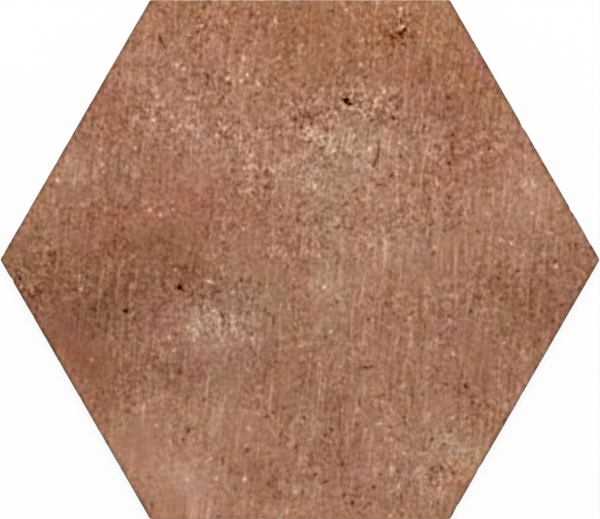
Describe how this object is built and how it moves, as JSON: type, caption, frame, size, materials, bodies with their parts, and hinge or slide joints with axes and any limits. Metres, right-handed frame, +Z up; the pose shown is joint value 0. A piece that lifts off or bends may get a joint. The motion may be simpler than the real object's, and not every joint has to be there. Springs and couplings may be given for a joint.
{
  "type": "hexagon floor tile",
  "caption": "Flat regular hexagon floor tile of fired clay with a terracotta-look face, eased edges and a keyed back for the adhesive.",
  "frame": {"origin": "middle of the back, level with the tops of the ribs that the tile beds down on", "axes": "+Z up through the face; X through two opposite corners; Y square to two opposite straight sides"},
  "size_m": [0.2496, 0.2166, 0.009],
  "materials": {
    "fired_clay": "matt terracotta look with chalky blooms, pores and fine drag lines"
  },
  "bodies": {
    "root": {"tile": "fired_clay"}
  },
  "joints": []
}
